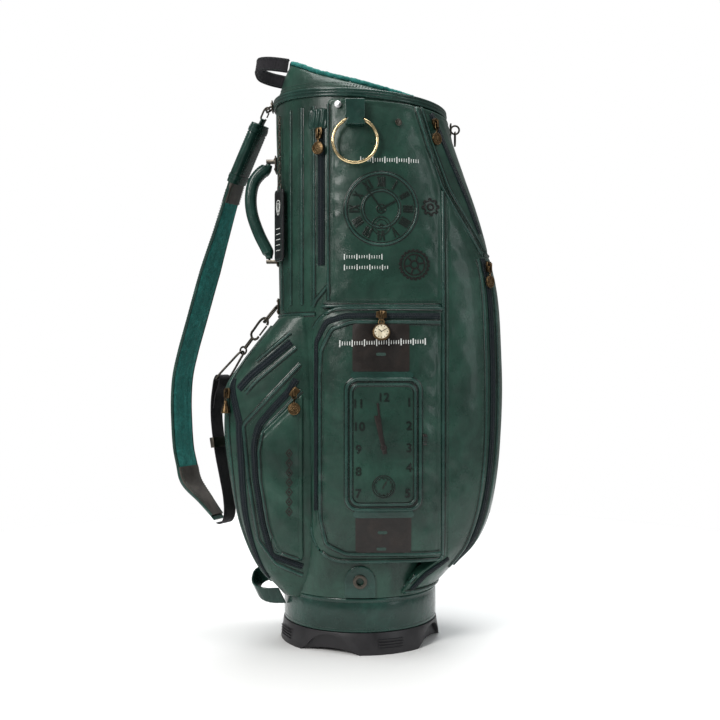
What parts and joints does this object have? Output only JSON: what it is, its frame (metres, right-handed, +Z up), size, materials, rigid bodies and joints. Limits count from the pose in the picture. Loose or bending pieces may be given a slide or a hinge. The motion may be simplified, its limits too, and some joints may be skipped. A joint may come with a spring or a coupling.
{
  "type": "golf staff bag",
  "caption": "Round leather golf staff bag on a moulded foot, with club dividers, padded zip pockets, a carry handle and a clip-on shoulder strap.",
  "frame": {"origin": "on the tube's axis at floor level, at the centre of the foot's middle pad", "axes": "+Z up along the tube, +X towards the large front pocket, -X towards the spine with the strap and handles, -Y the near side"},
  "size_m": [0.5158, 0.2956, 0.8771],
  "materials": {
    "leather_green": "glossy, mottled, darker at the seams",
    "plush_teal": "short plush pile",
    "webbing_black": "woven",
    "tag_leather": "matte",
    "base_plastic": "moulded, satin",
    "liner_plastic": "smooth",
    "stay_aluminium": "satin",
    "antique_brass": "aged, darker in the recesses"
  },
  "bodies": {
    "bag": {"base_foot": "base_plastic", "base_collar": "leather_green", "body_shell": "leather_green", "inner_tube": "liner_plastic", "floor_pad": "plush_teal", "stay_rod_near": "stay_aluminium", "stay_rod_far": "stay_aluminium", "top_cuff": "leather_green", "cuff_band": "leather_green", "rim_plush": "plush_teal", "divider_frame": "plush_teal", "divider_curtain": "webbing_black", "front_lower_pocket": "leather_green", "front_upper_pocket": "leather_green", "side_pocket_near": "leather_green", "side_pocket_far": "leather_green", "upper_pocket_near": "leather_green", "upper_pocket_far": "leather_green", "rear_pocket": "leather_green", "rear_side_pocket": "leather_green", "towel_loop": "leather_green", "hood_stud_rear": "antique_brass", "hood_stud_front": "antique_brass", "base_tab": "leather_green", "base_eyelet": "antique_brass", "handle_anchor_top": "antique_brass", "handle_anchor_bottom": "antique_brass", "dring_upper": "antique_brass", "dring_lower": "antique_brass", "grab_loop": "leather_green", "front_ring": "antique_brass"},
    "carry_grip": {"carry_handle": "leather_green"},
    "lift_loop": {"lift_handle": "webbing_black"},
    "towel": {"towel_ring": "antique_brass"},
    "strap": {"strap_pad": "leather_green", "strap_sleeve": "leather_green", "strap_webbing": "webbing_black", "strap_adjuster": "antique_brass", "strap_ring": "antique_brass", "strap_hook_lower": "antique_brass", "strap_hook_upper": "antique_brass"},
    "lower_gate": {"hook_gate_lower": "antique_brass"},
    "upper_gate": {"hook_gate_upper": "antique_brass"},
    "tag": {"hang_tag": "tag_leather"},
    "clip": {"front_clip": "antique_brass"},
    "upper_zip_slide": {"upper_zip_slider": "antique_brass"},
    "upper_zip_tab": {"upper_zip_pull": "antique_brass"},
    "side_zip_slide": {"side_zip_slider": "antique_brass"},
    "side_zip_tab": {"side_zip_pull": "antique_brass"},
    "far_zip_slide": {"far_zip_slider": "antique_brass"},
    "far_zip_tab": {"far_zip_pull": "antique_brass"},
    "rear_side_zip_slide": {"rear_side_zip_slider": "antique_brass"},
    "rear_side_zip_tab": {"rear_side_zip_pull": "antique_brass"},
    "rear_zip_slide": {"rear_zip_slider": "antique_brass"},
    "rear_zip_tab": {"rear_zip_pull": "antique_brass"},
    "front_upper_zip_slide": {"front_upper_zip_slider": "antique_brass"},
    "front_upper_zip_tab": {"front_upper_zip_pull": "antique_brass"},
    "front_zip_slide": {"front_zip_slider": "antique_brass"},
    "front_zip_tab": {"front_zip_pull": "antique_brass"}
  },
  "joints": [
    {"name": "upper_zip_travel", "type": "slide", "parent": "bag", "child": "upper_zip_slide", "axis": [-0.004, -0.004, -1], "range_m": [0, 0.16]},
    {"name": "upper_zip_tab_swing", "type": "hinge", "parent": "upper_zip_slide", "child": "upper_zip_tab", "pos_m": [-0.05988, -0.11503, 0.744], "axis": [-0.887, 0.4618, 0], "range_deg": [0, 100]},
    {"name": "side_zip_travel", "type": "slide", "parent": "bag", "child": "side_zip_slide", "axis": [1, 0, 0], "range_m": [-0.055, 0.06]},
    {"name": "side_zip_tab_swing", "type": "hinge", "parent": "side_zip_slide", "child": "side_zip_tab", "pos_m": [0.03, -0.136, 0.484], "axis": [-1, 0, 0], "range_deg": [0, 100]},
    {"name": "far_zip_travel", "type": "slide", "parent": "bag", "child": "far_zip_slide", "axis": [1, 0, 0], "range_m": [-0.055, 0.06]},
    {"name": "far_zip_tab_swing", "type": "hinge", "parent": "far_zip_slide", "child": "far_zip_tab", "pos_m": [0.03, 0.136, 0.484], "axis": [1, 0, 0], "range_deg": [0, 100]},
    {"name": "rear_side_zip_travel", "type": "slide", "parent": "bag", "child": "rear_side_zip_slide", "axis": [-0.727, 0, -0.6866], "range_m": [0, 0.05]},
    {"name": "rear_side_zip_tab_swing", "type": "hinge", "parent": "rear_side_zip_slide", "child": "rear_side_zip_tab", "pos_m": [-0.0945, -0.1027, 0.3735], "axis": [-1, 0, 0], "range_deg": [0, 100]},
    {"name": "rear_zip_travel", "type": "slide", "parent": "bag", "child": "rear_zip_slide", "axis": [0, 0, -1], "range_m": [0, 0.07]},
    {"name": "rear_zip_tab_swing", "type": "hinge", "parent": "rear_zip_slide", "child": "rear_zip_tab", "pos_m": [-0.19638, -0.07934, 0.372], "axis": [-0.6428, 0.766, 0], "range_deg": [0, 100]},
    {"name": "front_upper_zip_travel", "type": "slide", "parent": "bag", "child": "front_upper_zip_slide", "axis": [0.3998, 0, -0.9166], "range_m": [0, 0.05]},
    {"name": "front_upper_zip_tab_swing", "type": "hinge", "parent": "front_upper_zip_slide", "child": "front_upper_zip_tab", "pos_m": [0.11127, -0.09336, 0.762], "axis": [-0.7193, -0.6947, 0], "range_deg": [0, 100]},
    {"name": "front_zip_travel", "type": "slide", "parent": "bag", "child": "front_zip_slide", "axis": [0.0896, -0.0199, -0.9958], "range_m": [0, 0.08]},
    {"name": "front_zip_tab_swing", "type": "hinge", "parent": "front_zip_slide", "child": "front_zip_tab", "pos_m": [0.18979, -0.08252, 0.556], "axis": [-0.6691, -0.7431, 0], "range_deg": [0, 100]},
    {"name": "towel_ring_swing", "type": "hinge", "parent": "bag", "child": "towel", "pos_m": [-0.007, -0.134, 0.7604], "axis": [-1, 0, 0], "range_deg": [0, 45]},
    {"name": "carry_handle_swing", "type": "hinge", "parent": "bag", "child": "carry_grip", "pos_m": [-0.1395, 0, 0.648], "axis": [0, 0, 1], "range_deg": [-25, 25]},
    {"name": "lift_handle_tilt", "type": "hinge", "parent": "bag", "child": "lift_loop", "pos_m": [-0.11, 0, 0.859], "axis": [0, 1, 0], "range_deg": [-8, 28]},
    {"name": "strap_swing", "type": "hinge", "parent": "bag", "child": "strap", "pos_m": [-0.147, 0, 0.4785], "axis": [0.0108, 0, 0.9999], "range_deg": [-8, 60]},
    {"name": "lower_gate_pivot", "type": "hinge", "parent": "strap", "child": "lower_gate", "pos_m": [-0.15516, 0.00422, 0.45784], "axis": [-0.4694, -0.8829, 0.0051], "range_deg": [0, 24], "stiffness_Nm_per_rad": 0.02, "springref_deg": -11.46},
    {"name": "upper_gate_pivot", "type": "hinge", "parent": "strap", "child": "upper_gate", "pos_m": [-0.14342, -0.0001, 0.79278], "axis": [-0.4694, -0.8829, 0.0051], "range_deg": [0, 24], "stiffness_Nm_per_rad": 0.02, "springref_deg": -11.46},
    {"name": "tag_swing", "type": "hinge", "parent": "bag", "child": "tag", "pos_m": [-0.11923, -0.06075, 0.782], "axis": [-0.454, 0.891, 0], "range_deg": [0, 40]},
    {"name": "clip_swing", "type": "hinge", "parent": "bag", "child": "clip", "pos_m": [0.1462, 0, 0.7675], "axis": [1, 0, 0], "range_deg": [-45, 45]}
  ]
}
